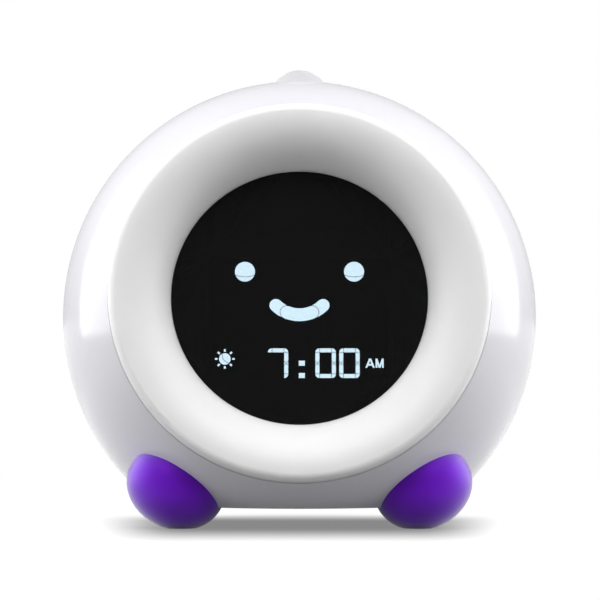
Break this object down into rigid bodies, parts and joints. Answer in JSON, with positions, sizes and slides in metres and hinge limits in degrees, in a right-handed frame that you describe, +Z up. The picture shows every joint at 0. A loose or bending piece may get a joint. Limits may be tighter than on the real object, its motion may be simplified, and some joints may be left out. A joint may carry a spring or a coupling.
{
  "type": "kids alarm clock with night light",
  "caption": "Round white table clock with a recessed dark display in a flared night-light ring, a snooze button on top and two rounded purple front feet.",
  "frame": {"origin": "under the middle of the clock's bounding box, on the surface that it stands on", "axes": "+Z up, the display faces -Y and looks up by 9.5 degrees, +X is to the right for someone who looks at the display"},
  "size_m": [0.12, 0.1042, 0.1148],
  "materials": {
    "white_shell": "smooth gloss ABS",
    "ring_diffuser": "satin translucent diffuser",
    "smoked_window": "smoked acrylic, polished",
    "purple_plastic": "semi-gloss moulded plastic",
    "purple_rubber": "matte soft rubber",
    "black_rubber": "matte rubber",
    "white_plastic": "plain moulded plastic",
    "button_white": "gloss ABS",
    "key_white": "satin ABS",
    "display_black": "display glass",
    "lit_segments": "lit from behind",
    "light_guide_plastic": "clear acrylic light guide",
    "led_package": "LED package",
    "pcb_green": "solder mask over fibreglass",
    "pcb_white": "white solder mask",
    "black_plastic": "moulded black plastic",
    "steel": "zinc plated steel",
    "nickel_plate": "nickel plated spring steel",
    "speaker_paper": "treated paper cone",
    "ferrite": "ferrite magnet in a steel cup",
    "cell_jacket": "plain printed sleeve",
    "wire_sleeve": "PVC wire insulation",
    "ribbon": "ribbon cable insulation"
  },
  "bodies": {
    "case": {"front_shell": "white_shell", "rear_shell": "white_shell", "base_plate": "white_plastic", "base_screws": "steel", "case_screws": "steel", "foot_left": "purple_plastic", "foot_right": "purple_plastic", "foot_screws": "steel", "foot_pads": "black_rubber", "rear_feet": "purple_rubber", "light_ring": "ring_diffuser", "display_window": "smoked_window", "window_mask": "display_black", "window_gasket": "black_rubber", "display_glass": "display_black", "display_segments": "lit_segments", "light_guide": "light_guide_plastic", "display_holder": "white_plastic", "contact_strips": "black_rubber", "main_board": "pcb_green", "main_board_chips": "black_plastic", "main_board_screws": "steel", "carrier": "white_plastic", "carrier_screws": "steel", "led_board": "pcb_white", "night_light_leds": "led_package", "top_button_spring": "nickel_plate", "button_board": "pcb_green", "button_switch": "black_plastic", "button_board_screws": "steel", "speaker_frame": "steel", "speaker_cone": "speaker_paper", "speaker_magnet": "ferrite", "speaker_screws": "steel", "key_board": "pcb_green", "key_switches": "black_plastic", "slide_switch": "black_plastic", "power_socket": "steel", "key_board_screws": "steel", "battery_cells": "cell_jacket", "battery_springs": "nickel_plate", "battery_plates": "nickel_plate", "key_cable": "ribbon", "speaker_wires": "wire_sleeve", "battery_wires": "wire_sleeve", "button_wires": "wire_sleeve", "led_wires": "wire_sleeve"},
    "top_button": {"top_button": "button_white", "button_plunger": "black_plastic"},
    "mode_key": {"mode_key": "key_white", "mode_plunger": "black_plastic"},
    "set_key": {"set_key": "key_white", "set_plunger": "black_plastic"},
    "down_key": {"down_key": "key_white", "down_plunger": "black_plastic"},
    "up_key": {"up_key": "key_white", "up_plunger": "black_plastic"},
    "alarm_knob": {"alarm_knob": "key_white"},
    "battery_door": {"battery_door": "white_plastic", "battery_door_screw": "steel"}
  },
  "joints": [
    {"name": "top_button_press", "type": "slide", "parent": "case", "child": "top_button", "axis": [0, 0, -1], "range_m": [0, 0.001], "stiffness_N_per_m": 400, "springref_m": -0.001, "deforming": ["top_button_spring"]},
    {"name": "mode_key_press", "type": "slide", "parent": "case", "child": "mode_key", "axis": [0, -0.9863, 0.165], "range_m": [0, 0.0008], "stiffness_N_per_m": 500, "springref_m": -0.0008},
    {"name": "set_key_press", "type": "slide", "parent": "case", "child": "set_key", "axis": [0, -0.9863, 0.165], "range_m": [0, 0.0008], "stiffness_N_per_m": 500, "springref_m": -0.0008},
    {"name": "down_key_press", "type": "slide", "parent": "case", "child": "down_key", "axis": [0, -0.9863, 0.165], "range_m": [0, 0.0008], "stiffness_N_per_m": 500, "springref_m": -0.0008},
    {"name": "up_key_press", "type": "slide", "parent": "case", "child": "up_key", "axis": [0, -0.9863, 0.165], "range_m": [0, 0.0008], "stiffness_N_per_m": 500, "springref_m": -0.0008},
    {"name": "alarm_switch_slide", "type": "slide", "parent": "case", "child": "alarm_knob", "axis": [1, 0, 0], "range_m": [0, 0.003]},
    {"name": "battery_door_lift_off", "type": "slide", "parent": "case", "child": "battery_door", "axis": [0, 0, -1], "range_m": [0, 0.02]}
  ]
}
